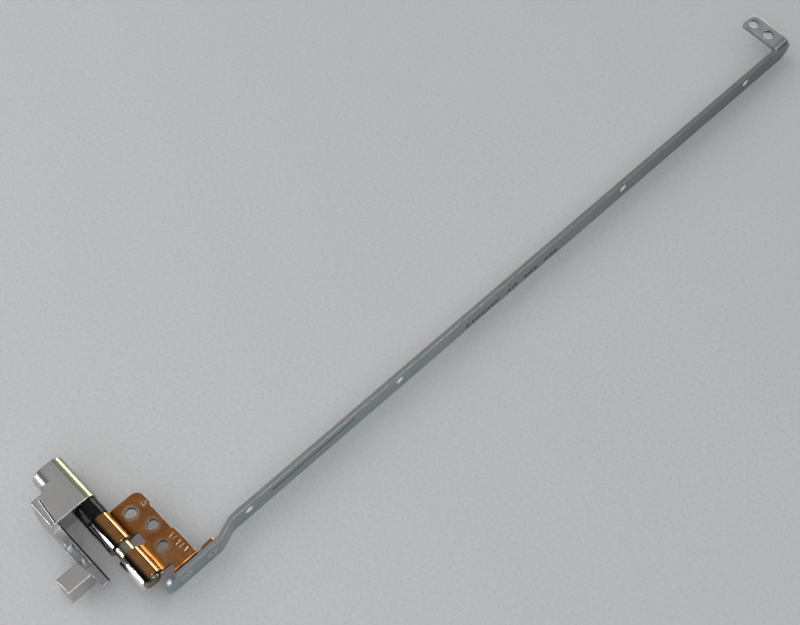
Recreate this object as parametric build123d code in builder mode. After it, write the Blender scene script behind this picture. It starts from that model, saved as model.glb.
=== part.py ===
"""Friction hinge with a long screen-side rail, as fitted behind a notebook computer's display.

Frame: +X along the hinge pin towards the rail, +Y along the rail away from the pin, +Z up from
the surface that the opened part lies on. Origin at the centre of the footprint. Millimetres.
"""
import math
import os

from build123d import *

# ---------------------------------------------------------------- driving dimensions
# Screen-side rail: one bent steel strip standing on its long edge
rail_sheet = 1.0  # thickness of the strip
rail_height = 7.05  # width of the strip, which stands upright
rail_face_x = 16.625  # outer face of the long straight stretch
rail_end_y = 112.85  # far end of the strip
paddle_offset = 1.75  # how far the riveted paddle is joggled outwards
paddle_tip_y = -97.65  # rounded near end of the paddle
joggle_start_y = -83.0
joggle_end_y = -78.4
joggle_bend_radius = 2.6
side_hole_radius = 1.0  # M2 thread, drawn at its nominal size
side_hole_z = 4.3
side_hole_first_y = -73.85
side_hole_steps = (0.0, 44.7, 120.7, 168.2)  # distances from the first hole
groove_start_y = -67.35  # pressed groove, in line with the holes
groove_end_y = -42.95
groove_width = 0.5
groove_depth = 0.3
far_corner_radius = 3.4  # lower corner of the far end
far_top_radius = 1.2  # its upper corner, beside the tab

# Far tab, bent off the top of the strip
tab_near_y = 106.5
tab_far_y = 111.5
tab_tip_x = 4.9
tab_bend_radius = 1.5  # outside of the bend
tab_hole_radius = 1.4
tab_hole_x = (6.75, 11.65)

# Hinge pin and the friction curls that grip it
pin_radius = 2.0
pin_y = -98.75
pin_z = 6.7
pin_end_x = 15.9
pin_start_x = -14.5
running_clearance = 0.03  # radial, between the pin and the curls
leaf_sheet = 0.8  # thickness of the spring-steel leaf
curl_a_x = (-1.95, 5.3)  # the curl next to the collar
curl_b_x = (8.2, 15.2)  # the curl next to the rail
curl_blend_radius = 2.05  # hollow between a curl and the flat of the leaf
curl_tail_angle = 12.0  # where a curl's free edge stops short of the leaf

# Friction leaf
leaf_left_x = -1.95
leaf_far_y = -88.35
leaf_relief_depth = 0.4  # shallow step in the far edge
leaf_relief_x = (1.8, 9.6)
leaf_corner_radius = 2.0
leaf_near_y = -94.35  # near edge of the flat beside the curls
leaf_hole_radius = 1.15
leaf_holes = ((1.2, -92.8), (6.25, -91.1), (11.2, -92.55))
flange_bend_radius = 1.0  # outside of the bend
flange_bottom_z = 0.5
flange_far_y = -83.3
flange_far_radius = 1.5
flange_top_drop = 0.4  # how far the ear stays under the top of the leaf
flange_notch = (-88.35, -86.5)  # relief beside the end of the bend
flange_notch_z = 5.2

# Rivets between paddle and flange
rivet_y = (-92.3, -85.5)
rivet_z = 3.6
rivet_shank_radius = 1.0
rivet_head_radius = 1.4
rivet_head_depth = 0.4
rivet_tail_height = 0.5
rivet_dimple_radius = 0.6

# Die-cast base
barrel_left_x = -18.375
barrel_right_x = -6.6
barrel_height = 6.1
barrel_front_y = -103.2
barrel_back_y = -95.7
barrel_back_radius = 2.6
barrel_front_radius = 1.2
web_left_x = -13.6
web_top_radius = 0.4
notch_radius = 1.3  # hollow corner between the barrel's free end and the web
wall_front_y = -106.95
wall_back_y = -104.85
wall_right_x = -2.4
crease_start = (-12.9, -105.1)  # line along the web's top, where the wall begins
crease_end = (-6.9, -105.75)
crease_width = 0.3
crease_depth = 0.25
ledge_right_x = 9.2
ledge_front_y = -107.65  # round the pocket
ledge_tip_front_y = -106.95  # past the boss
casting_edge_radius = 0.2
ledge_back_radius = 0.5
ledge_top_z = 6.3
ledge_bottom_z = 4.2
pocket_x = (-2.0, 4.1)
pocket_y = (-107.25, -105.55)
pocket_depth = 1.0
locating_pin_radius = 0.6
locating_pin_x = 1.6
boss_x = (1.7, 5.8)
boss_front_y = -112.85
boss_screw_radius = 1.025  # tapping drill for M2.5
boss_screw_depth = 5.0

# Collar between the barrel and the first curl
collar_radius = 2.75
collar_x = (-6.6, -2.1)


# ---------------------------------------------------------------- screen-side rail
with BuildPart() as display_rail:
    paddle_face_x = rail_face_x + paddle_offset
    with BuildSketch() as plan:
        with BuildLine():
            Polyline(
                (paddle_face_x, paddle_tip_y),
                (paddle_face_x, joggle_start_y),
                (rail_face_x, joggle_end_y),
                (rail_face_x, rail_end_y),
                (rail_face_x - rail_sheet, rail_end_y),
                (rail_face_x - rail_sheet, joggle_end_y),
                (paddle_face_x - rail_sheet, joggle_start_y),
                (paddle_face_x - rail_sheet, paddle_tip_y),
                close=True,
            )
        make_face()
    extrude(amount=rail_height)
    joggle_bends = display_rail.edges().filter_by(Axis.Z)
    joggle_bends = joggle_bends.filter_by_position(Axis.Y, joggle_start_y - 0.1, joggle_end_y + 0.1)
    fillet(joggle_bends, radius=joggle_bend_radius)
    # rounded near end
    tip_corners = display_rail.edges().filter_by(Axis.X).group_by(Axis.Y)[0]
    fillet(tip_corners, radius=3.3)
    # clear the top of the wall where the tab's bend takes over
    with Locations((rail_face_x - rail_sheet / 2, tab_near_y, rail_height - tab_bend_radius)):
        Box(
            rail_sheet * 1.2,
            rail_end_y - tab_near_y + 1,
            tab_bend_radius * 2,
            align=(Align.CENTER, Align.MIN, Align.MIN),
            mode=Mode.SUBTRACT,
        )
    far_corners = display_rail.edges().filter_by(Axis.X).group_by(Axis.Y)[-1].sort_by(Axis.Z)
    fillet(far_corners[0], radius=far_corner_radius)
    far_corners = display_rail.edges().filter_by(Axis.X).group_by(Axis.Y)[-1].sort_by(Axis.Z)
    fillet(far_corners[-1], radius=far_top_radius)
    # the tab: a quarter bend and a flat
    with BuildSketch(Plane.XZ.offset(-tab_near_y)) as tab_profile:
        bend_x = rail_face_x - tab_bend_radius
        bend_z = rail_height - tab_bend_radius
        inner_radius = tab_bend_radius - rail_sheet
        with BuildLine():
            CenterArc((bend_x, bend_z), tab_bend_radius, 0, 90)
            Line((bend_x, rail_height), (tab_tip_x, rail_height))
            Line((tab_tip_x, rail_height), (tab_tip_x, rail_height - rail_sheet))
            Line((tab_tip_x, rail_height - rail_sheet), (bend_x, rail_height - rail_sheet))
            CenterArc((bend_x, bend_z), inner_radius, 0, 90)
            Line((rail_face_x - rail_sheet, bend_z), (rail_face_x, bend_z))
        make_face()
    extrude(amount=-(tab_far_y - tab_near_y))
    # the corners of the tab's tip
    tab_corners = display_rail.edges().filter_by(Axis.Z).group_by(Axis.X)[0].sort_by(Axis.Y)
    fillet(tab_corners[0], radius=0.8)
    fillet(tab_corners[-1], radius=1.8)
    # two screw holes in the tab
    tab_middle_y = (tab_near_y + tab_far_y) / 2
    with Locations(*[(x, tab_middle_y, rail_height) for x in tab_hole_x]):
        Hole(tab_hole_radius, depth=rail_sheet * 1.5)
    # tapped holes along the side
    side_points = [(side_hole_first_y + step, side_hole_z) for step in side_hole_steps]
    with BuildSketch(Plane.YZ.offset(rail_face_x)):
        with Locations(*side_points):
            Circle(side_hole_radius)
    extrude(amount=-rail_sheet, mode=Mode.SUBTRACT)
    # pressed groove
    groove_length = groove_end_y - groove_start_y
    with BuildSketch(Plane.YZ.offset(rail_face_x)):
        with Locations(((groove_start_y + groove_end_y) / 2, side_hole_z)):
            SlotOverall(groove_length, groove_width)
    extrude(amount=-groove_depth, mode=Mode.SUBTRACT)
    # rivet holes through the paddle, countersunk on the outside
    with BuildSketch(Plane.YZ.offset(paddle_face_x)):
        with Locations(*[(y, rivet_z) for y in rivet_y]):
            Circle(rivet_shank_radius)
    extrude(amount=-rail_sheet, mode=Mode.SUBTRACT)
    with BuildSketch(Plane.YZ.offset(paddle_face_x)):
        with Locations(*[(y, rivet_z) for y in rivet_y]):
            Circle(rivet_head_radius)
    extrude(amount=-rivet_head_depth, mode=Mode.SUBTRACT)

# ---------------------------------------------------------------- friction leaf
with BuildPart() as friction_leaf:
    leaf_right_x = rail_face_x + paddle_offset - rail_sheet
    leaf_top_z = pin_z + leaf_sheet / 2
    leaf_bottom_z = pin_z - leaf_sheet / 2
    with BuildSketch(Plane.XY.offset(leaf_bottom_z)):
        with BuildLine():
            Polyline(
                (leaf_left_x, leaf_near_y),
                (leaf_left_x, leaf_far_y),
                (leaf_relief_x[0], leaf_far_y),
                (leaf_relief_x[0], leaf_far_y - leaf_relief_depth),
                (leaf_relief_x[1], leaf_far_y - leaf_relief_depth),
                (leaf_relief_x[1], leaf_far_y),
                (leaf_right_x - flange_bend_radius, leaf_far_y),
                (leaf_right_x - flange_bend_radius, leaf_near_y),
                close=True,
            )
        make_face()
    extrude(amount=leaf_sheet)
    outer_corner = friction_leaf.edges().filter_by(Axis.Z).group_by(Axis.X)[0].sort_by(Axis.Y)[-1]
    fillet(outer_corner, radius=leaf_corner_radius)
    # the two curls
    # each is the sheet's centre line: a flat, a reverse bend and a wrap round the pin,
    # under the pin (side -1) next to the collar and over it (side +1) next to the rail
    wrap_radius = pin_radius + running_clearance + leaf_sheet / 2
    blend_radius = curl_blend_radius + leaf_sheet / 2
    blend_start = math.sqrt((wrap_radius + blend_radius) ** 2 - blend_radius**2)
    blend_angle = math.degrees(math.atan2(blend_radius, blend_start))
    wrap_angle = 360 - curl_tail_angle - blend_angle
    for x_range, side in ((curl_a_x, -1), (curl_b_x, 1)):
        with BuildSketch(Plane.YZ.offset(x_range[0])) as curl_section:
            with BuildLine():
                Line((leaf_near_y + leaf_sheet, pin_z), (pin_y + blend_start, pin_z))
                CenterArc(
                    (pin_y + blend_start, pin_z + side * blend_radius),
                    blend_radius,
                    -90 * side,
                    -(90 - blend_angle) * side,
                )
                CenterArc((pin_y, pin_z), wrap_radius, blend_angle * side, wrap_angle * side)
            trace(line_width=leaf_sheet)
        extrude(amount=x_range[1] - x_range[0])
    # the bend down into the flange
    with BuildSketch(Plane.XZ.offset(-leaf_near_y)) as flange_profile:
        bend_x = leaf_right_x - flange_bend_radius
        bend_z = leaf_top_z - flange_bend_radius
        inner_radius = flange_bend_radius - leaf_sheet
        with BuildLine():
            Line((bend_x, leaf_top_z), (bend_x, leaf_bottom_z))
            CenterArc((bend_x, bend_z), inner_radius, 90, -90)
            Line((bend_x + inner_radius, bend_z), (bend_x + inner_radius, flange_bottom_z))
            Line((bend_x + inner_radius, flange_bottom_z), (leaf_right_x, flange_bottom_z))
            Line((leaf_right_x, flange_bottom_z), (leaf_right_x, bend_z))
            CenterArc((bend_x, bend_z), flange_bend_radius, 0, 90)
        make_face()
    extrude(amount=-(leaf_far_y - leaf_near_y))
    # the flange reaches past the leaf, with a relief notch beside the bend
    with BuildSketch(Plane.YZ.offset(leaf_right_x)):
        with BuildLine():
            Polyline(
                (flange_notch[0] - 1, flange_bottom_z),
                (flange_far_y, flange_bottom_z),
                (flange_far_y, leaf_top_z - flange_top_drop),
                (flange_notch[1], leaf_top_z - flange_top_drop),
                (flange_notch[1], flange_notch_z),
                (flange_notch[0] - 1, flange_notch_z),
                close=True,
            )
        make_face()
    extrude(amount=-leaf_sheet)
    flange_corners = friction_leaf.edges().filter_by(Axis.X).group_by(Axis.Y)[-1]
    fillet(flange_corners, radius=flange_far_radius)
    # relief beside the second curl, at the root of the flange
    with Locations((curl_b_x[1], leaf_near_y, pin_z)):
        Box(1.3, 1.6, leaf_sheet * 1.2, align=(Align.MIN, Align.CENTER, Align.CENTER), mode=Mode.SUBTRACT)
    # screw holes in the flat
    with Locations(*[(x, y, leaf_top_z) for x, y in leaf_holes]):
        Hole(leaf_hole_radius, depth=leaf_sheet)
    # rivet holes
    with BuildSketch(Plane.YZ.offset(leaf_right_x)):
        with Locations(*[(y, rivet_z) for y in rivet_y]):
            Circle(rivet_shank_radius)
    extrude(amount=-leaf_sheet, mode=Mode.SUBTRACT)

# ---------------------------------------------------------------- hinge pin
with BuildPart() as hinge_pin:
    with BuildSketch(Plane.YZ.offset(pin_start_x)):
        with Locations((pin_y, pin_z)):
            Circle(pin_radius)
    extrude(amount=pin_end_x - pin_start_x)
    pin_ends = hinge_pin.edges().filter_by(GeomType.CIRCLE)
    chamfer(pin_ends, length=0.3)

# ---------------------------------------------------------------- collar
with BuildPart() as spacer_collar:
    with BuildSketch(Plane.YZ.offset(collar_x[0])):
        with Locations((pin_y, pin_z)):
            Circle(collar_radius)
            Circle(pin_radius, mode=Mode.SUBTRACT)
    extrude(amount=collar_x[1] - collar_x[0])
    collar_rims = spacer_collar.edges().filter_by(GeomType.CIRCLE).sort_by(SortBy.RADIUS)[-2:]
    fillet(collar_rims, radius=0.25)

# ---------------------------------------------------------------- die-cast base
with BuildPart() as base_casting:
    barrel_top_z = pin_z + barrel_height / 2
    barrel_bottom_z = pin_z - barrel_height / 2
    # barrel: rounded more at the back than at the front
    with BuildSketch(Plane.YZ.offset(barrel_left_x)) as barrel_section:
        with Locations(((barrel_front_y + barrel_back_y) / 2, pin_z)):
            Rectangle(barrel_back_y - barrel_front_y, barrel_height)
        back_corners = barrel_section.vertices().group_by(Axis.Y)[-1]
        fillet(back_corners, radius=barrel_back_radius)
        front_corners = barrel_section.vertices().group_by(Axis.Y)[0]
        fillet(front_corners, radius=barrel_front_radius)
    extrude(amount=barrel_right_x - barrel_left_x)
    free_end = base_casting.faces().sort_by(Axis.X)[0]
    fillet(free_end.edges(), radius=casting_edge_radius)
    # web: carries the flat top of the barrel forward to the wall, from a hollow corner
    with BuildSketch(Plane.XY.offset(barrel_bottom_z)):
        hollow_x = web_left_x - notch_radius
        hollow_y = barrel_front_y - notch_radius
        with BuildLine():
            CenterArc((hollow_x, hollow_y), notch_radius, 0, 90)
            Polyline(
                (web_left_x, hollow_y),
                (web_left_x, wall_front_y),
                (wall_right_x, wall_front_y),
                (wall_right_x, wall_back_y),
                (barrel_right_x, wall_back_y),
                (barrel_right_x, pin_y),
                (hollow_x, pin_y),
                (hollow_x, barrel_front_y),
            )
        make_face()
    extrude(amount=barrel_height)
    # wall: from the web down to the foot
    with Locations((web_left_x, wall_front_y, 0)):
        Box(
            wall_right_x - web_left_x,
            wall_back_y - wall_front_y,
            ledge_top_z,
            align=(Align.MIN, Align.MIN, Align.MIN),
        )
    # past the web the wall drops to the level of the ledge
    with Locations((barrel_right_x, wall_front_y - 1, ledge_top_z)):
        Box(
            wall_right_x - barrel_right_x + 1,
            wall_back_y - wall_front_y + 2,
            barrel_height,
            align=(Align.MIN, Align.MIN, Align.MIN),
            mode=Mode.SUBTRACT,
        )
    top_edges = base_casting.faces().sort_by(Axis.Z)[-1].edges()
    web_edges = top_edges.filter_by_position(Axis.Y, wall_front_y - 0.1, wall_back_y)
    web_edges = web_edges.filter_by_position(Axis.X, web_left_x + 0.1, barrel_right_x - 0.1)
    fillet(web_edges, radius=web_top_radius)
    # crease along the web's top
    with BuildSketch(Plane.XY.offset(barrel_top_z)):
        with BuildLine() as crease_line:
            Line(crease_start, crease_end)
        crease_middle = crease_line.edge() @ 0.5
        crease_turn = crease_line.edge().tangent_angle_at(0.5)
        with Locations(Location((crease_middle.X, crease_middle.Y), crease_turn)):
            SlotOverall(crease_line.edge().length, crease_width)
    extrude(amount=-crease_depth, mode=Mode.SUBTRACT)
    # ledge towards the rail, wider round the pocket than at its tip
    with BuildSketch(Plane.XY.offset(ledge_bottom_z)):
        with BuildLine():
            Polyline(
                (wall_right_x - 1, wall_back_y),
                (ledge_right_x, wall_back_y),
                (ledge_right_x, ledge_tip_front_y),
                (boss_x[1] - 1, ledge_tip_front_y),
                (boss_x[1] - 1, ledge_front_y),
                (wall_right_x, ledge_front_y),
                (wall_right_x, wall_front_y + 1),
                (wall_right_x - 1, wall_front_y + 1),
                close=True,
            )
        make_face()
    extrude(amount=ledge_top_z - ledge_bottom_z)
    # boss block under and in front of the ledge
    boss_middle_x = (boss_x[0] + boss_x[1]) / 2
    with BuildSketch():
        with Locations((boss_middle_x, (boss_front_y + ledge_tip_front_y) / 2)):
            Rectangle(boss_x[1] - boss_x[0], ledge_tip_front_y - boss_front_y)
    extrude(amount=ledge_top_z)
    # soft edges: round the boss's top, and along the back of the ledge
    ledge_face = base_casting.faces().filter_by(Plane.XY).filter_by_position(Axis.Z, ledge_top_z, ledge_top_z)
    ledge_edges = ledge_face.edges()
    boss_edges = ledge_edges.filter_by_position(Axis.Y, boss_front_y - 0.1, ledge_front_y - 0.1)
    fillet(boss_edges, radius=casting_edge_radius)
    back_edges = base_casting.edges().filter_by(Axis.X)
    back_edges = back_edges.filter_by_position(Axis.Y, wall_back_y - 0.05, wall_back_y + 0.05)
    back_edges = back_edges.filter_by_position(Axis.Z, ledge_top_z - 0.05, ledge_top_z + 0.05)
    fillet(back_edges, radius=ledge_back_radius)
    # pocket in the ledge, with a cast locating pin
    with BuildSketch(Plane.XY.offset(ledge_top_z)):
        with Locations(((pocket_x[0] + pocket_x[1]) / 2, (pocket_y[0] + pocket_y[1]) / 2)):
            RectangleRounded(pocket_x[1] - pocket_x[0], pocket_y[1] - pocket_y[0], 0.4)
    extrude(amount=-pocket_depth, mode=Mode.SUBTRACT)
    with Locations((locating_pin_x, (pocket_y[0] + pocket_y[1]) / 2, ledge_top_z - pocket_depth)):
        Cylinder(
            locating_pin_radius,
            pocket_depth,
            align=(Align.CENTER, Align.CENTER, Align.MIN),
        )
    # bore for the pin, stopping short of the free end
    with BuildSketch(Plane.YZ.offset(pin_start_x)):
        with Locations((pin_y, pin_z)):
            Circle(pin_radius)
    extrude(amount=barrel_right_x - pin_start_x, mode=Mode.SUBTRACT)
    # tapped hole in the foot of the boss
    boss_middle_y = (boss_front_y + ledge_front_y) / 2
    with BuildSketch():
        with Locations((boss_middle_x, boss_middle_y)):
            Circle(boss_screw_radius)
    extrude(amount=boss_screw_depth, mode=Mode.SUBTRACT)

# ---------------------------------------------------------------- rivets
with BuildPart() as rivets:
    for y in rivet_y:
        outside = rail_face_x + paddle_offset
        inside = outside - rail_sheet - leaf_sheet
        with BuildSketch(Plane.YZ.offset(outside)):
            with Locations((y, rivet_z)):
                Circle(rivet_head_radius)
        extrude(amount=-rivet_head_depth)
        with BuildSketch(Plane.YZ.offset(outside)):
            with Locations((y, rivet_z)):
                Circle(rivet_shank_radius)
        extrude(amount=-(rail_sheet + leaf_sheet))
        with BuildSketch(Plane.YZ.offset(inside)):
            with Locations((y, rivet_z)):
                Circle(rivet_head_radius)
        extrude(amount=-rivet_tail_height)
        with BuildSketch(Plane.YZ.offset(outside)):
            with Locations((y, rivet_z)):
                Circle(rivet_dimple_radius)
        extrude(amount=-rivet_head_depth, mode=Mode.SUBTRACT)

# ---------------------------------------------------------------- write one STEP per piece
os.makedirs("parts", exist_ok=True)
base_casting.part.label = "base_casting"
export_step(base_casting.part, "parts/base_casting.step")
hinge_pin.part.label = "hinge_pin"
export_step(hinge_pin.part, "parts/hinge_pin.step")
spacer_collar.part.label = "spacer_collar"
export_step(spacer_collar.part, "parts/spacer_collar.step")
friction_leaf.part.label = "friction_leaf"
export_step(friction_leaf.part, "parts/friction_leaf.step")
display_rail.part.label = "display_rail"
export_step(display_rail.part, "parts/display_rail.step")
rivets.part.label = "rivets"
export_step(rivets.part, "parts/rivets.step")
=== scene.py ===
"""Looks, light and camera for the notebook-screen friction hinge with its side rail."""
import math
import random

import bmesh
import bpy
from mathutils import Matrix, Vector


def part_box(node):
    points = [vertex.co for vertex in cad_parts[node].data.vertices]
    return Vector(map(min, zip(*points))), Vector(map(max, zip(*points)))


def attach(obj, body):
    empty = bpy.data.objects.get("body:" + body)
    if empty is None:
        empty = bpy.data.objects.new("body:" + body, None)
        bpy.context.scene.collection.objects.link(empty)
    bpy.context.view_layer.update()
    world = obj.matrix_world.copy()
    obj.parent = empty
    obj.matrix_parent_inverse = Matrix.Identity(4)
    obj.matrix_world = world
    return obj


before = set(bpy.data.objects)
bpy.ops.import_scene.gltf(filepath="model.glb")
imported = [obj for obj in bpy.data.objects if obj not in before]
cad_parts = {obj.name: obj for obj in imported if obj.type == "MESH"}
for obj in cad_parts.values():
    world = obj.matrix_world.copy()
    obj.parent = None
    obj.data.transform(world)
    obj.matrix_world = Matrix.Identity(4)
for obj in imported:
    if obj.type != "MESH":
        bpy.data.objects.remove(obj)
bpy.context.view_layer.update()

MM = 0.001

# ---------------------------------------------------------------- places, from the frame
rail_low, rail_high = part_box("display_rail")
leaf_low, leaf_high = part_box("friction_leaf")
pin_low, pin_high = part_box("hinge_pin")
_, base_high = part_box("base_casting")
pin_axis_y = (pin_low.y + pin_high.y) / 2
pin_axis_z = (pin_low.z + pin_high.z) / 2

# ---------------------------------------------------------------- places, as in the CAD source
wall_back_y = -104.85 * MM
leaf_sheet = 0.8 * MM
leaf_top_z = pin_axis_z + leaf_sheet / 2
leaf_far_y = pin_axis_y + 10.4 * MM
leaf_holes = [(x * MM, y * MM) for x, y in ((1.2, -92.8), (6.25, -91.1), (11.2, -92.55))]
curl_radius = 2.83 * MM
joggle = 1.75 * MM
rail_face_x = rail_high.x - joggle
side_hole_radius = 1.0 * MM
side_hole_z = 4.3 * MM
side_hole_y = [(-73.85 + step) * MM for step in (0, 44.7, 120.7, 168.2)]
groove_y = (-67.35 * MM, -42.95 * MM)


# ---------------------------------------------------------------- node helpers
class Shader:
    """A material being built: its node tree, its Principled shader and short ways to add nodes."""

    def __init__(self, name):
        self.material = bpy.data.materials.new(name)
        self.material.use_nodes = True
        self.tree = self.material.node_tree
        self.surface = self.tree.nodes["Principled BSDF"]
        self.place = self.add("ShaderNodeTexCoord").outputs["Object"]

    def add(self, kind, **settings):
        node = self.tree.nodes.new(kind)
        for key, value in settings.items():
            setattr(node, key, value)
        return node

    def link(self, source, target):
        self.tree.links.new(source, target)

    def stretched(self, scale, turn=(0, 0, 0)):
        """Object coordinates scaled per axis, for streaks and brushing."""
        node = self.add("ShaderNodeMapping")
        node.inputs["Scale"].default_value = scale
        node.inputs["Rotation"].default_value = turn
        self.link(self.place, node.inputs["Vector"])
        return node.outputs["Vector"]

    def noise(self, scale, detail=4.0, roughness=0.55, vector=None, distortion=0.0):
        """Fractal noise; scale counts its patches per metre."""
        node = self.add("ShaderNodeTexNoise")
        node.inputs["Scale"].default_value = scale
        node.inputs["Detail"].default_value = detail
        node.inputs["Roughness"].default_value = roughness
        node.inputs["Distortion"].default_value = distortion
        self.link(vector or self.place, node.inputs["Vector"])
        return node.outputs["Fac"]

    def pits(self, scale):
        """Distance to the nearest of scattered points, scale of them per metre."""
        node = self.add("ShaderNodeTexVoronoi", feature="F1")
        node.inputs["Scale"].default_value = scale
        self.link(self.place, node.inputs["Vector"])
        return node.outputs["Distance"]

    def ramp(self, value, stops):
        """Colour ramp from (position, colour) stops."""
        node = self.add("ShaderNodeValToRGB")
        elements = node.color_ramp.elements
        while len(elements) < len(stops):
            elements.new(0.5)
        for element, (position, colour) in zip(elements, stops):
            element.position = position
            element.color = (*colour, 1.0)
        self.link(value, node.inputs["Fac"])
        return node.outputs["Color"]

    def remap(self, value, source, target):
        """The value taken evenly from the source range to the target range, held at its ends."""
        node = self.add("ShaderNodeMapRange")
        node.inputs["From Min"].default_value, node.inputs["From Max"].default_value = source
        node.inputs["To Min"].default_value, node.inputs["To Max"].default_value = target
        self.link(value, node.inputs["Value"])
        return node.outputs["Result"]

    def mix(self, factor, colour, tint):
        """The colour where factor is 0, the tint where it is 1."""
        node = self.add("ShaderNodeMix", data_type="RGBA")
        first, second = [socket for socket in node.inputs if socket.type == "RGBA"]
        self.link(factor, node.inputs[0])
        self.link(colour, first)
        second.default_value = (*tint, 1.0)
        return [socket for socket in node.outputs if socket.type == "RGBA"][0]

    def tinted(self, colour, tint, mask, strength):
        """The colour taken towards a tint by strength where the mask is 1."""
        return self.mix(self.math("MULTIPLY", mask, strength), colour, tint)

    def math(self, operation, first, second):
        node = self.add("ShaderNodeMath", operation=operation)
        for socket, value in zip(node.inputs, (first, second)):
            if isinstance(value, (int, float)):
                socket.default_value = value
            else:
                self.link(value, socket)
        return node.outputs["Value"]

    def position(self):
        """X, Y and Z of the object coordinates, each on its own."""
        node = self.add("ShaderNodeSeparateXYZ")
        self.link(self.place, node.inputs["Vector"])
        return node.outputs["X"], node.outputs["Y"], node.outputs["Z"]

    def distance_from(self, x, y):
        """Distance in plan from an upright line at (x, y)."""
        flat = self.add("ShaderNodeVectorMath", operation="MULTIPLY")
        self.link(self.place, flat.inputs[0])
        flat.inputs[1].default_value = (1.0, 1.0, 0.0)
        node = self.add("ShaderNodeVectorMath", operation="DISTANCE")
        self.link(flat.outputs["Vector"], node.inputs[0])
        node.inputs[1].default_value = (x, y, 0.0)
        return node.outputs["Value"]

    def soft_edges(self, radius):
        """Normal of the surface with its sharp edges rounded by radius."""
        node = self.add("ShaderNodeBevel", samples=6)
        node.inputs["Radius"].default_value = radius
        return node.outputs["Normal"]

    def edge_mask(self, rounded):
        """1 on sharp edges, 0 on flats: how far the rounded normal leans from the true one."""
        flat_cosine = 0.995
        edge_cosine = 0.75
        true_normal = self.add("ShaderNodeNewGeometry").outputs["True Normal"]
        node = self.add("ShaderNodeVectorMath", operation="DOT_PRODUCT")
        self.link(rounded, node.inputs[0])
        self.link(true_normal, node.inputs[1])
        return self.remap(node.outputs["Value"], (flat_cosine, edge_cosine), (0.0, 1.0))

    def bump(self, height, strength, distance, normal=None):
        """Relief from a height of 0 to 1, distance deep, on the given normal."""
        node = self.add("ShaderNodeBump")
        node.inputs["Strength"].default_value = strength
        node.inputs["Distance"].default_value = distance
        self.link(height, node.inputs["Height"])
        if normal is not None:
            self.link(normal, node.inputs["Normal"])
        return node.outputs["Normal"]

    def finish(self, colour, roughness, normal, **fixed):
        """Connects outputs to the shader; plain numbers are set on the shader's own sockets."""
        for name, value in (("Base Color", colour), ("Roughness", roughness), ("Normal", normal)):
            if isinstance(value, float):
                self.surface.inputs[name].default_value = value
            else:
                self.link(value, self.surface.inputs[name])
        for name, value in fixed.items():
            self.surface.inputs[name.replace("_", " ")].default_value = value
        return self.material


# ---------------------------------------------------------------- materials
WHITE = (1, 1, 1)
BLACK = (0, 0, 0)
scratch_relief = 0.01 * MM
fine_relief = 0.02 * MM
cast_relief = 0.03 * MM


def zinc_plate():
    """Satin blue-white zinc plate over rolled strip: lengthwise rolling lines, handling marks.

    The long stretch carries painted shade that deepens towards the tab.
    """
    s = Shader("zinc_plate")
    rolling = s.noise(1.0, 5.0, 0.6, s.stretched((2600, 90, 2600)))
    cloud = s.noise(260, 5.0, 0.6)
    spots = s.ramp(s.pits(900), [(0.0, WHITE), (0.09, BLACK)])
    scratch = s.ramp(
        s.noise(1.0, 3.0, 0.7, s.stretched((5200, 420, 1500), (0.5, 0.2, 0.1))),
        [(0.66, BLACK), (0.72, WHITE)],
    )
    rounded = s.soft_edges(0.12 * MM)
    edges = s.edge_mask(rounded)
    dark, middle, pale = (0.32, 0.365, 0.385), (0.37, 0.41, 0.43), (0.41, 0.45, 0.46)
    colour = s.ramp(cloud, [(0.25, dark), (0.55, middle), (0.8, pale)])
    painted_shade_y = (-20 * MM, 104 * MM)
    strip_x = (14.4 * MM, 15.8 * MM)
    shade, stain = (0.17, 0.19, 0.205), (0.20, 0.23, 0.25)
    bright_scratch, bright_edge = (0.62, 0.66, 0.68), (0.66, 0.70, 0.71)
    x, y, _ = s.position()
    # painted shade: the strip face darkens towards the tab
    painted_shade_toward_tab = s.remap(y, painted_shade_y, (0.0, 0.85))
    on_strip = s.remap(x, strip_x, (0.0, 1.0))
    colour = s.mix(s.math("MULTIPLY", painted_shade_toward_tab, on_strip), colour, shade)
    colour = s.tinted(colour, stain, spots, 0.35)
    colour = s.tinted(colour, bright_scratch, scratch, 0.25)
    colour = s.tinted(colour, bright_edge, edges, 0.5)
    cloudy = s.remap(cloud, (0.2, 0.8), (0.26, 0.40))
    streaky = s.remap(rolling, (0.3, 0.7), (-0.03, 0.05))
    roughness = s.math("ADD", cloudy, streaky)
    coarse = s.math("MULTIPLY", rolling, 0.8)
    fine = s.math("MULTIPLY", s.noise(4200, 2.0), 0.3)
    normal = s.bump(s.math("ADD", coarse, fine), 0.16, fine_relief, rounded)
    return s.finish(colour, roughness, normal, Metallic=1.0)


def sheared_zinc():
    """The strip's sheared edges: thinner plating, painted shade towards the tab, shear marks
    across.
    """
    s = Shader("zinc_plate_sheared")
    marks = s.noise(1.0, 4.0, 0.65, s.stretched((500, 2400, 500)))
    cloud = s.noise(300, 4.0, 0.6)
    _, y, _ = s.position()
    painted_shade_toward_tab = s.remap(y, (rail_low.y, rail_high.y), (0.0, 0.75))
    colour = s.ramp(cloud, [(0.3, (0.36, 0.375, 0.37)), (0.75, (0.44, 0.45, 0.44))])
    shade = (0.13, 0.138, 0.142)
    # painted shade: the sheared edges darken towards the tab
    colour = s.mix(painted_shade_toward_tab, colour, shade)
    roughness = s.remap(marks, (0.3, 0.7), (0.34, 0.52))
    normal = s.bump(marks, 0.35, fine_relief, s.soft_edges(0.12 * MM))
    return s.finish(colour, roughness, normal, Metallic=1.0)


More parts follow.
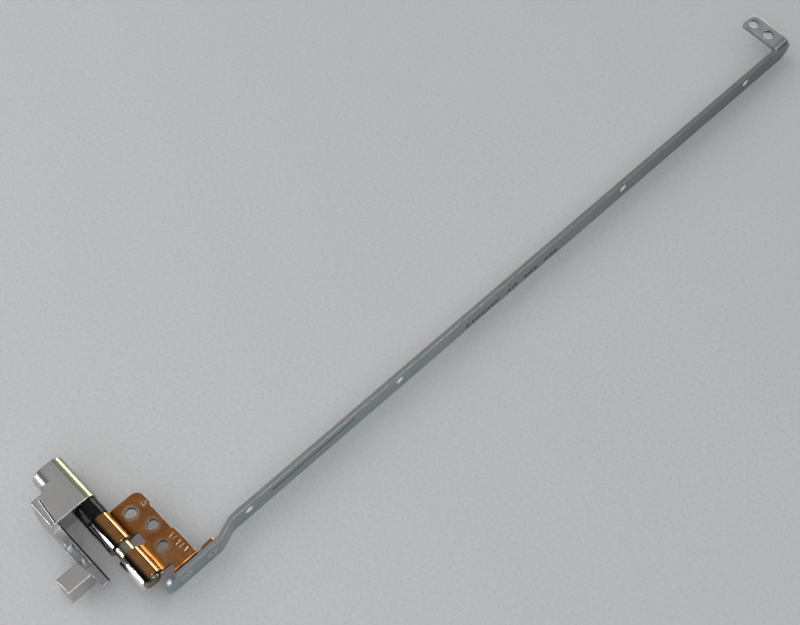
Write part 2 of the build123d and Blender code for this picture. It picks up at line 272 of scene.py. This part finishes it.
def shaded_wall(name, colour, roughness):
    """Small faces of one part that look darker or duller than the rest, lined with tear marks."""
    s = Shader(name)
    tears = s.noise(1.0, 4.0, 0.65, s.stretched((900, 3800, 3800)))
    dark = tuple(channel * 0.55 for channel in colour)
    shade = s.ramp(tears, [(0.3, dark), (0.7, colour)])
    uneven = s.remap(tears, (0.3, 0.7), (roughness - 0.05, roughness + 0.08))
    return s.finish(shade, uneven, s.bump(tears, 0.3, fine_relief), Metallic=1.0)


def gold_chromate():
    """Glossy gold-brown chromate on spring steel, rubbed grey round the screw holes."""
    s = Shader("gold_chromate")
    stain = s.noise(330, 6.0, 0.62, distortion=0.6)
    film_and_dark_reflection = s.noise(120, 3.0, 0.5)
    speck = s.ramp(s.noise(3800, 3.0, 0.6), [(0.60, BLACK), (0.72, WHITE)])
    rounded = s.soft_edges(0.10 * MM)
    edges = s.edge_mask(rounded)
    wear = s.noise(1500, 4.0, 0.7)
    colour = s.ramp(
        stain,
        [
            (0.24, (0.22, 0.070, 0.016)),
            (0.44, (0.36, 0.120, 0.024)),
            (0.58, (0.42, 0.165, 0.038)),
            (0.78, (0.46, 0.250, 0.110)),
        ],
    )
    thin_film, pale_speck = (0.34, 0.24, 0.15), (0.42, 0.36, 0.27)
    rubbed_and_highlight, bare_edge = (0.44, 0.40, 0.34), (0.60, 0.54, 0.46)
    colour = s.mix(s.remap(film_and_dark_reflection, (0.52, 0.75), (0.0, 0.45)), colour, thin_film)
    colour = s.tinted(colour, pale_speck, speck, 0.30)
    ring_radii = (2.0 * MM, 1.5 * MM)
    for (x, y), strength in zip(leaf_holes, (0.95, 0.45, 0.45)):
        ring = s.remap(s.distance_from(x, y), ring_radii, (0.0, strength))
        patchy_ring = s.math("MULTIPLY", ring, s.remap(wear, (0.3, 0.6), (0.3, 1.0)))
        colour = s.mix(patchy_ring, colour, rubbed_and_highlight)
    colour = s.tinted(colour, bare_edge, edges, 0.85)
    roughness = s.remap(stain, (0.25, 0.8), (0.11, 0.25))
    grain = s.math("ADD", s.noise(900, 3.0), s.math("MULTIPLY", s.noise(5200, 2.0), 0.25))
    normal = s.bump(grain, 0.10, fine_relief, rounded)
    return s.finish(colour, roughness, normal, Metallic=1.0, Coat_Weight=0.35, Coat_Roughness=0.08)


def worn_gold():
    """Chromate rubbed thin on the high spots of the stamped mark."""
    s = Shader("gold_chromate_worn")
    rub = s.noise(2600, 4.0, 0.7)
    colour = s.ramp(rub, [(0.35, (0.50, 0.30, 0.17)), (0.6, (0.74, 0.60, 0.50))])
    roughness = s.remap(rub, (0.3, 0.7), (0.35, 0.22))
    return s.finish(colour, roughness, s.bump(rub, 0.1, scratch_relief), Metallic=1.0)


def gold_curl():
    """The same chromate where the sheet was drawn round the pin, with drawing lines.

    The side away from the leaf is painted near-black as a dark reflection. On the second curl,
    low on that side and towards the rail, a near-white patch is painted in as a highlight.
    """
    s = Shader("gold_chromate_drawn")
    lines = s.noise(1.0, 4.0, 0.6, s.stretched((160, 3000, 3000)))
    cloud = s.noise(420, 4.0, 0.6)
    rounded = s.soft_edges(0.10 * MM)
    edges = s.edge_mask(rounded)
    x, y, _ = s.position()
    ragged = s.math("MULTIPLY", s.math("SUBTRACT", cloud, 0.5), 0.4 * MM)
    dark_reflection_y = (pin_axis_y - 0.30 * MM, pin_axis_y - 1.05 * MM)
    highlight_x = (9.6 * MM, 11.6 * MM)
    highlight_y = (pin_axis_y - 1.6 * MM, pin_axis_y - 2.1 * MM)
    side = s.math("ADD", y, ragged)
    # painted dark reflection: the side away from the leaf goes near-black
    film_and_dark_reflection = s.remap(side, dark_reflection_y, (0.0, 1.0))
    toward_rail = s.math("ADD", x, ragged)
    # painted highlight: a near-white patch low on the second curl, towards the rail
    rubbed_and_highlight = s.math(
        "MULTIPLY", s.remap(toward_rail, highlight_x, (0.0, 1.0)), s.remap(side, highlight_y, (0.0, 1.0))
    )
    brown, gold, straw = (0.24, 0.095, 0.018), (0.34, 0.145, 0.030), (0.40, 0.20, 0.055)
    bare_edge, painted_dark_reflection, painted_highlight_colour = (0.60, 0.56, 0.50), (0.012, 0.010, 0.010), (0.95, 0.90, 0.82)
    colour = s.ramp(cloud, [(0.25, brown), (0.55, gold), (0.8, straw)])
    colour = s.tinted(colour, bare_edge, edges, 0.9)
    colour = s.mix(film_and_dark_reflection, colour, painted_dark_reflection)
    colour = s.mix(rubbed_and_highlight, colour, painted_highlight_colour)
    cloudy = s.remap(cloud, (0.2, 0.8), (0.06, 0.10))
    streaky = s.remap(lines, (0.3, 0.7), (0.0, 0.03))
    roughness = s.math("ADD", cloudy, streaky)
    roughness = s.math("ADD", roughness, s.math("MULTIPLY", rubbed_and_highlight, 0.22))
    normal = s.bump(lines, 0.04, scratch_relief, rounded)
    return s.finish(colour, roughness, normal, Metallic=1.0, Coat_Weight=1.0, Coat_Roughness=0.04)


def painted_olive_reflection():
    """The barrel's rounded back, painted darker and yellow-green as a dim olive reflection."""
    s = Shader("cast_nickel_back_painted_reflection")
    peel = s.noise(1500, 3.0, 0.5)
    cloud = s.noise(260, 4.0, 0.6)
    # painted reflection: a dim olive tone on the back rounding
    colour = s.ramp(cloud, [(0.3, (0.30, 0.31, 0.22)), (0.7, (0.38, 0.39, 0.29))])
    roughness = s.remap(cloud, (0.2, 0.8), (0.24, 0.34))
    normal = s.bump(peel, 0.12, cast_relief, s.soft_edges(0.2 * MM))
    return s.finish(colour, roughness, normal, Metallic=1.0)


def dull_nickel():
    """The ledge's top: unpolished, bluish and darker than the barrel."""
    s = Shader("cast_nickel_dull")
    peel = s.noise(1700, 4.0, 0.6)
    cloud = s.noise(330, 5.0, 0.65, distortion=0.4)
    rounded = s.soft_edges(0.2 * MM)
    edges = s.edge_mask(rounded)
    colour = s.ramp(cloud, [(0.3, (0.34, 0.35, 0.375)), (0.7, (0.46, 0.47, 0.49))])
    polished_edge = (0.86, 0.86, 0.85)
    colour = s.tinted(colour, polished_edge, edges, 0.8)
    roughness = s.remap(cloud, (0.2, 0.8), (0.28, 0.42))
    return s.finish(colour, roughness, s.bump(peel, 0.2, cast_relief, rounded), Metallic=1.0)


def painted_highlight_thread():
    """Tapped threads of the side holes, torn, painted white as a highlight that catches light from
    any side.
    """
    s = Shader("zinc_thread_painted_highlight")
    turns = s.noise(1.0, 3.0, 0.6, s.stretched((6000, 500, 500)))
    # painted highlight: the threads are coloured near-white
    colour = s.ramp(turns, [(0.3, (0.86, 0.87, 0.88)), (0.7, (0.98, 0.98, 0.98))])
    roughness = s.remap(turns, (0.3, 0.7), (0.3, 0.5))
    return s.finish(colour, roughness, s.bump(turns, 0.3, fine_relief))


def cast_nickel():
    """Satin nickel plate on a die casting: faint orange peel, polished high spots, soft stains."""
    s = Shader("cast_nickel")
    peel = s.noise(1500, 3.0, 0.5)
    cloud = s.noise(210, 5.0, 0.6, distortion=0.4)
    tint = s.noise(95, 2.0)
    pores = s.ramp(s.pits(1500), [(0.0, WHITE), (0.07, BLACK)])
    rounded = s.soft_edges(0.28 * MM)
    edges = s.edge_mask(rounded)
    dark, middle, pale = (0.53, 0.53, 0.515), (0.61, 0.605, 0.585), (0.66, 0.65, 0.63)
    warm, pore_shade, polished_edge = (0.66, 0.58, 0.56), (0.18, 0.18, 0.18), (0.92, 0.91, 0.89)
    colour = s.ramp(cloud, [(0.25, dark), (0.55, middle), (0.8, pale)])
    colour = s.mix(s.remap(tint, (0.45, 0.7), (0.0, 0.6)), colour, warm)
    colour = s.tinted(colour, pore_shade, pores, 0.5)
    colour = s.tinted(colour, polished_edge, edges, 0.9)
    roughness = s.remap(cloud, (0.2, 0.8), (0.26, 0.38))
    height = s.math("SUBTRACT", s.math("MULTIPLY", peel, 0.8), s.math("MULTIPLY", pores, 0.5))
    normal = s.bump(height, 0.14, cast_relief, rounded)
    return s.finish(colour, roughness, normal, Metallic=1.0)


def ground_steel():
    """Ground pin steel with fine rings round it and a brown film of oil."""
    s = Shader("ground_steel")
    rings = s.noise(1.0, 4.0, 0.6, s.stretched((7000, 60, 60)))
    film_and_dark_reflection = s.noise(300, 4.0, 0.6)
    rounded = s.soft_edges(0.12 * MM)
    oily, thin_oil, clean = (0.25, 0.21, 0.15), (0.36, 0.33, 0.27), (0.45, 0.43, 0.40)
    colour = s.ramp(film_and_dark_reflection, [(0.25, oily), (0.55, thin_oil), (0.8, clean)])
    cloudy = s.remap(film_and_dark_reflection, (0.2, 0.8), (0.16, 0.28))
    streaky = s.remap(rings, (0.3, 0.7), (0.0, 0.08))
    roughness = s.math("ADD", cloudy, streaky)
    normal = s.bump(rings, 0.15, 0.015 * MM, rounded)
    return s.finish(colour, roughness, normal, Metallic=1.0)


def black_gloss():
    """Gloss black collar, wet with oil, with faint turning lines and smears."""
    s = Shader("black_gloss")
    lines = s.noise(1.0, 3.0, 0.5, s.stretched((3600, 80, 80)))
    smear = s.noise(480, 4.0, 0.6, distortion=1.0)
    rounded = s.soft_edges(0.08 * MM)
    colour = s.ramp(smear, [(0.35, (0.003, 0.003, 0.003)), (0.75, (0.012, 0.011, 0.010))])
    roughness = s.remap(smear, (0.25, 0.8), (0.20, 0.34))
    normal = s.bump(lines, 0.06, scratch_relief, rounded)
    return s.finish(colour, roughness, normal, Metallic=0.0, Specular_IOR_Level=0.16)


def rivet_steel():
    """Bright plated rivets with a tumbled surface."""
    s = Shader("rivet_steel")
    cloud = s.noise(900, 4.0, 0.6)
    rounded = s.soft_edges(0.15 * MM)
    edges = s.edge_mask(rounded)
    colour = s.ramp(cloud, [(0.3, (0.42, 0.45, 0.47)), (0.7, (0.60, 0.62, 0.63))])
    polished_edge = (0.80, 0.81, 0.82)
    colour = s.tinted(colour, polished_edge, edges, 0.6)
    roughness = s.remap(cloud, (0.2, 0.8), (0.16, 0.30))
    normal = s.bump(s.noise(2500, 3.0), 0.14, fine_relief, rounded)
    return s.finish(colour, roughness, normal, Metallic=1.0)


def marking_ink():
    """Dark marking ink, thin and uneven."""
    s = Shader("marking_ink")
    patchy = s.noise(2200, 4.0, 0.7)
    colour = s.ramp(patchy, [(0.35, (0.018, 0.020, 0.026)), (0.8, (0.075, 0.085, 0.095))])
    roughness = s.remap(patchy, (0.3, 0.8), (0.45, 0.65))
    return s.finish(colour, roughness, s.bump(patchy, 0.1, 0.005 * MM))


def table_top():
    """Pale pebbled table surface."""
    s = Shader("table_top")
    pebble = s.noise(1250, 3.0, 0.55)
    fine = s.noise(4200, 2.0, 0.5)
    cloud = s.noise(14, 3.0, 0.5)
    dark, middle, pale = (0.675, 0.675, 0.683), (0.72, 0.72, 0.725), (0.745, 0.745, 0.748)
    bluish = (0.68, 0.685, 0.71)
    colour = s.ramp(pebble, [(0.32, dark), (0.5, middle), (0.68, pale)])
    colour = s.mix(s.remap(cloud, (0.4, 0.7), (0.0, 0.25)), colour, bluish)
    height = s.math("ADD", s.math("MULTIPLY", pebble, 0.9), s.math("MULTIPLY", fine, 0.3))
    return s.finish(colour, 0.55, s.bump(height, 0.22, 0.10 * MM), Specular_IOR_Level=0.3)


def give(node, material):
    """Replaces every material on a CAD node by one."""
    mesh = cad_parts[node].data
    mesh.materials.clear()
    mesh.materials.append(material)


give("base_casting", cast_nickel())
give("hinge_pin", ground_steel())
give("spacer_collar", black_gloss())
give("display_rail", zinc_plate())
give("rivets", rivet_steel())
give("friction_leaf", gold_chromate())


def paint(node, material, belongs):
    """Gives the faces of a CAD node for which belongs(centre, normal) holds another material."""
    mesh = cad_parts[node].data
    mesh.materials.append(material)
    index = len(mesh.materials) - 1
    for face in mesh.polygons:
        if belongs(face.center, face.normal):
            face.material_index = index


# A facet's centre lies a little off the true surface: by slack on curves, by hair on flats.
slack = 0.1 * MM
hair = 0.01 * MM
level_normal = 0.9  # least part along an axis for a face that lies square to it
side_normal = 0.3  # largest part along an axis for a face that runs along it


def on_curl(centre, _normal):
    return math.hypot(centre.y - pin_axis_y, centre.z - pin_axis_z) < curl_radius + slack


def on_leaf_wall(centre, normal):
    """Cut edges of the flat leaf and its holes, not those of the curls or the flange."""
    flange_start_x = leaf_high.x - 1.2 * MM
    upright = abs(normal.z) < side_normal and abs(centre.z - pin_axis_z) < leaf_sheet / 2
    return upright and centre.x < flange_start_x and not on_curl(centre, normal)


def on_bend(centre, normal):
    """The hollow where the sheet leaves a curl and becomes the flat leaf."""
    bend_y = (pin_axis_y + 1.8 * MM, pin_axis_y + 4.4 * MM)
    curls_end_x = 15.3 * MM
    sloping = 0.05 < abs(normal.y)
    beyond_curl = not on_curl(centre, normal) and bend_y[0] < centre.y < bend_y[1]
    return beyond_curl and sloping and centre.x < curls_end_x


def on_barrel_back(centre, normal):
    rounding_start_y = pin_axis_y + 0.2 * MM
    return normal.y > 0.12 and centre.y > rounding_start_y


def on_ledge_top(centre, normal):
    ledge_z = (5.0 * MM, 6.4 * MM)
    ledge_front_y = -108.0 * MM
    ledge_left_x = -6.6 * MM
    level = ledge_z[0] < centre.z < ledge_z[1] and normal.z > level_normal
    return level and ledge_front_y < centre.y and centre.x > ledge_left_x


def on_ledge_back(centre, normal):
    """The rounded rear edge of the ledge, painted with a dark line of shade."""
    ledge_top_z = 6.31 * MM
    ledge_left_x = -6.5 * MM
    behind = wall_back_y - 0.45 * MM < centre.y < wall_back_y + hair and normal.y > 0.2
    return behind and centre.z < ledge_top_z and centre.x > ledge_left_x


def in_crease(centre, _normal):
    crease_x = (-13.1 * MM, -6.65 * MM)
    crease_y = (-106.0 * MM, -104.9 * MM)
    low = base_high.z - 0.3 * MM < centre.z < base_high.z - hair
    return low and crease_y[0] < centre.y < crease_y[1] and crease_x[0] < centre.x < crease_x[1]


def on_pin_end(centre, normal):
    return normal.x > level_normal and centre.x > pin_high.x - slack


def on_sheared_edge(centre, normal):
    strip_inner_x = rail_face_x - 1.1 * MM
    return abs(normal.z) > level_normal and centre.x > strip_inner_x


def in_side_hole(centre, normal):
    nearest = min(math.hypot(centre.y - y, centre.z - side_hole_z) for y in side_hole_y)
    return abs(normal.x) < side_normal and nearest < side_hole_radius + 0.02 * MM


def in_groove(centre, _normal):
    half_width = 0.3 * MM
    depth = 0.35 * MM
    inside = groove_y[0] - hair < centre.y < groove_y[1] + hair
    deep = rail_face_x - depth < centre.x < rail_face_x - hair
    return inside and deep and abs(centre.z - side_hole_z) < half_width


paint("friction_leaf", gold_curl(), on_curl)
# painted shade: the leaf's cut edges and hole walls are coloured near-black
paint("friction_leaf", shaded_wall("chromate_cut_wall_painted_shade", (0.030, 0.018, 0.010), 0.45), on_leaf_wall)
paint("friction_leaf", shaded_wall("chromate_bend", (0.46, 0.175, 0.038), 0.34), on_bend)
# painted reflection: the barrel's rounded back in a dim olive tone
paint("base_casting", painted_olive_reflection(), on_barrel_back)
paint("base_casting", dull_nickel(), on_ledge_top)
# painted shade: a dark line along the ledge's rounded rear edge
paint("base_casting", shaded_wall("nickel_ledge_painted_shade", (0.07, 0.075, 0.08), 0.5), on_ledge_back)
# painted shade: the crease in the web is coloured dark
paint("base_casting", shaded_wall("nickel_crease_painted_shade", (0.15, 0.15, 0.14), 0.6), in_crease)
paint("hinge_pin", shaded_wall("pin_cut_end", (0.30, 0.22, 0.18), 0.35), on_pin_end)
paint("display_rail", sheared_zinc(), on_sheared_edge)
# painted highlight: white threads in the side holes
paint("display_rail", painted_highlight_thread(), in_side_hole)
# painted shade: the groove in the rail face is coloured near-black
paint("display_rail", shaded_wall("zinc_groove_painted_shade", (0.045, 0.05, 0.055), 0.5), in_groove)


# ---------------------------------------------------------------- small pieces
def mesh_piece(name, build, material, body):
    """Runs build(bmesh) and makes the result a piece that rides on a body."""
    work = bmesh.new()
    build(work)
    bmesh.ops.recalc_face_normals(work, faces=work.faces)
    mesh = bpy.data.meshes.new(name)
    work.to_mesh(mesh)
    work.free()
    mesh.materials.append(material)
    piece = bpy.data.objects.new(name, mesh)
    bpy.context.scene.collection.objects.link(piece)
    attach(piece, body)


def raised_stroke(work, start, end, width, height):
    """A low bar with a rounded top between two points on a level surface."""
    along = (end - start).normalized()
    across = Vector((-along.y, along.x, 0))
    profile_steps = 8
    rings = []
    for point in (start, end):
        ring = []
        for step in range(profile_steps + 1):
            turn = math.pi * step / profile_steps
            shift = across * (math.cos(turn) * width / 2)
            lift = Vector((0, 0, math.sin(turn) * height))
            ring.append(work.verts.new(point + shift + lift))
        rings.append(ring)
    for step in range(profile_steps):
        near, far = rings
        work.faces.new((near[step], near[step + 1], far[step + 1], far[step]))
    for ring in rings:
        work.faces.new(ring)
    work.faces.new((rings[0][0], rings[1][0], rings[1][-1], rings[0][-1]))


def stamp_strokes(work):
    """A generic stamped mark: a small triangle, and a row of plain slanting strokes."""
    surface = leaf_top_z - hair
    stroke_width = 0.24 * MM
    stroke_height = 0.07 * MM
    triangle_radius = 0.75 * MM
    stroke_step = Vector((1.1 * MM, 0.05 * MM, 0))
    strokes = ((0.25, 1.5), (-0.2, 1.3), (0.3, 1.6), (0.0, 1.4), (0.25, 1.2))  # lean, length
    centre = Vector((leaf_low.x + 3.15 * MM, leaf_far_y - 1.2 * MM, surface))
    corners = []
    for angle in (90, 210, 330):
        turn = math.radians(angle)
        corners.append(centre + Vector((math.cos(turn), math.sin(turn), 0)) * triangle_radius)
    for first, second in zip(corners, corners[1:] + corners[:1]):
        raised_stroke(work, first, second, stroke_width, stroke_height)
    row_start = Vector((leaf_low.x + 12.4 * MM, leaf_far_y - 0.75 * MM, surface))
    for step, (lean, length) in enumerate(strokes):
        top = row_start + step * stroke_step
        bottom = top + Vector((lean * MM, -length * MM, 0))
        raised_stroke(work, top, bottom, stroke_width, stroke_height)


mesh_piece("stamped_mark", stamp_strokes, worn_gold(), "screen_side")


def add_block(work, x_range, y_range, z_range):
    """A box that fills three ranges."""
    (low_y, high_y), (low_z, high_z) = y_range, z_range
    outline = ((low_y, low_z), (high_y, low_z), (high_y, high_z), (low_y, high_z))
    verts = [work.verts.new((x, y, z)) for x in x_range for y, z in outline]
    ends = ((0, 1, 2, 3), (7, 6, 5, 4))
    sides = ((0, 4, 5, 1), (1, 5, 6, 2), (2, 6, 7, 3), (3, 7, 4, 0))
    for face in ends + sides:
        work.faces.new([verts[i] for i in face])


def ink_bars(work):
    """A generic printed batch mark: groups of short upright bars of uneven weight."""
    rng = random.Random(7)
    proud = 0.012 * MM
    x_range = (rail_face_x - proud, rail_face_x + proud)
    low_z = rail_low.z + 1.2 * MM
    bar_height = 1.7 * MM
    place = pin_axis_y + 91.2 * MM
    groups = ((12, 2.6), (3, 2.0), (4, 1.8), (5, 0.0))  # bars, and the gap after them
    for bars, gap_after in groups:
        for _ in range(bars):
            width = rng.choice((0.35, 0.5, 0.75, 0.95)) * MM
            height = bar_height * rng.uniform(0.75, 1.0)
            add_block(work, x_range, (place, place + width), (low_z, low_z + height))
            place += width + rng.uniform(0.25, 0.6) * MM
        place += gap_after * MM


mesh_piece("printed_mark", ink_bars, marking_ink(), "screen_side")


# ---------------------------------------------------------------- camera, fitted to the photo
azimuth = math.radians(40.23)
elevation = math.radians(61.30)
roll = math.radians(6.14)
camera_distance = 319.2 * MM
camera_target = Vector((6.44, -19.55, 10.2)) * MM
camera_lens = 64.01  # mm, on a sensor 36 mm wide
away = Vector((
    math.sin(azimuth) * math.cos(elevation),
    -math.cos(azimuth) * math.cos(elevation),
    math.sin(elevation),
))
camera_place = camera_target + away * camera_distance


def make_camera():
    """Looks down over the rail side of the hinge, turned so that the rail runs up to the right."""
    forward = -away
    level_right = forward.cross(Vector((0, 0, 1))).normalized()
    level_up = level_right.cross(forward)
    right = math.cos(roll) * level_right + math.sin(roll) * level_up
    up = -math.sin(roll) * level_right + math.cos(roll) * level_up
    data = bpy.data.cameras.new("camera")
    data.sensor_width = 36.0
    data.lens = camera_lens
    data.clip_start = 0.01
    camera = bpy.data.objects.new("camera", data)
    bpy.context.scene.collection.objects.link(camera)
    turn = Matrix((right, up, away)).transposed().to_4x4()
    camera.matrix_world = Matrix.Translation(camera_place) @ turn
    bpy.context.scene.camera = camera


make_camera()
bpy.context.scene.view_settings.view_transform = "Standard"


# ---------------------------------------------------------------- stage
def make_floor():
    """A square of table under the object, far wider than the picture."""
    half = 3.0
    mesh = bpy.data.meshes.new("floor")
    corners = [(-half, -half, 0), (half, -half, 0), (half, half, 0), (-half, half, 0)]
    mesh.from_pydata(corners, [], [(0, 1, 2, 3)])
    mesh.materials.append(table_top())
    floor = bpy.data.objects.new("floor", mesh)
    bpy.context.scene.collection.objects.link(floor)


make_floor()


def area_light(name, direction, distance, size, power, colour, aim, glossy=True, diffuse=True):
    """A softbox that faces its aim point, seen along direction; its height is square to X."""
    data = bpy.data.lights.new(name, "AREA")
    data.shape = "RECTANGLE"
    data.size, data.size_y = size
    data.energy = power
    data.color = colour
    lamp = bpy.data.objects.new(name, data)
    bpy.context.scene.collection.objects.link(lamp)
    back = Vector(direction).normalized()
    height = back.cross(Vector((1, 0, 0))).normalized()
    width = height.cross(back)
    turn = Matrix((width, height, back)).transposed().to_4x4()
    lamp.matrix_world = Matrix.Translation(Vector(aim) + back * distance) @ turn
    lamp.visible_glossy = glossy
    lamp.visible_diffuse = diffuse


def glint_direction(point, lean):
    """Where a light must stand to be mirrored to the camera at a point of a surface along X.

    lean is the surface normal's angle from vertical in the YZ plane, positive towards +Y.
    """
    normal = Vector((0, math.sin(math.radians(lean)), math.cos(math.radians(lean))))
    view = (camera_place - point).normalized()
    return 2 * normal.dot(view) * normal - view


def add_lights():
    """Two softboxes for the shading, and a window and four lamps seen only as reflections."""
    white = (1.0, 1.0, 1.0)
    hinge = Vector((0, pin_axis_y, pin_axis_z))
    area_light(
        "key", direction=(-0.66, -0.20, 0.66), distance=0.80, size=(0.8, 0.8), power=2.35,
        colour=(1.0, 0.985, 0.965), aim=Vector((0, 0, 0)), glossy=False,
    )
    area_light(
        "fill", direction=(0.25, -0.55, 0.80), distance=0.70, size=(0.9, 0.9), power=2.5,
        colour=(0.92, 0.97, 1.0), aim=hinge, glossy=False,
    )
    area_light(
        "window", direction=(-0.34, 0.93, 0.14), distance=1.6, size=(0.9, 0.34), power=10.0,
        colour=(1.0, 0.93, 0.84), aim=hinge, diffuse=False,
    )
    glint_distance = 1.3
    area_light(
        "glint_edge", direction=(0.60, 0.37, 0.71), distance=glint_distance, size=(0.40, 0.40),
        power=13.0, colour=white, aim=hinge, diffuse=False,
    )
    # name, X in mm and lean in degrees of the spot that shines, size, power, colour
    spots = (
        ("glint_first", 2.3, -38.0, (0.012, 0.50), 1.9, (0.84, 0.91, 1.0)),
        ("glint_second", 13.2, -48.0, (0.035, 0.45), 2.0, (1.0, 0.98, 0.95)),
        ("glint_barrel", -16.6, -58.0, (0.12, 0.60), 10.0, white),
    )
    for name, x, lean, size, power, colour in spots:
        spot = hinge + Vector((x * MM, 0, 0))
        direction = glint_direction(spot, lean)
        area_light(name, direction, glint_distance, size, power, colour, spot, diffuse=False)


def make_world():
    """A dim room, brightest overhead towards the rail's far end, dark towards the hinge's end."""
    world = bpy.data.worlds.new("room")
    world.use_nodes = True
    bpy.context.scene.world = world
    tree = world.node_tree
    background = tree.nodes["Background"]
    place = tree.nodes.new("ShaderNodeTexCoord")
    facing = tree.nodes.new("ShaderNodeVectorMath")
    facing.operation = "DOT_PRODUCT"
    facing.inputs[1].default_value = Vector((-0.22, 0.44, 0.87)).normalized()
    tree.links.new(place.outputs["Generated"], facing.inputs[0])
    level = tree.nodes.new("ShaderNodeValToRGB")
    level.color_ramp.interpolation = "EASE"
    # cosine of the angle to the brightest direction, and brightness there
    stops = ((0.0, 0.05), (0.30, 0.05), (0.56, 0.13), (0.80, 0.36), (0.93, 0.46), (1.0, 0.47))
    elements = level.color_ramp.elements
    while len(elements) < len(stops):
        elements.new(0.5)
    for element, (position, amount) in zip(elements, stops):
        element.position = position
        element.color = (amount * 0.98, amount * 0.99, amount, 1.0)
    tree.links.new(facing.outputs["Value"], level.inputs["Fac"])
    tree.links.new(level.outputs["Color"], background.inputs["Color"])
    background.inputs["Strength"].default_value = 1.0


add_lights()
make_world()
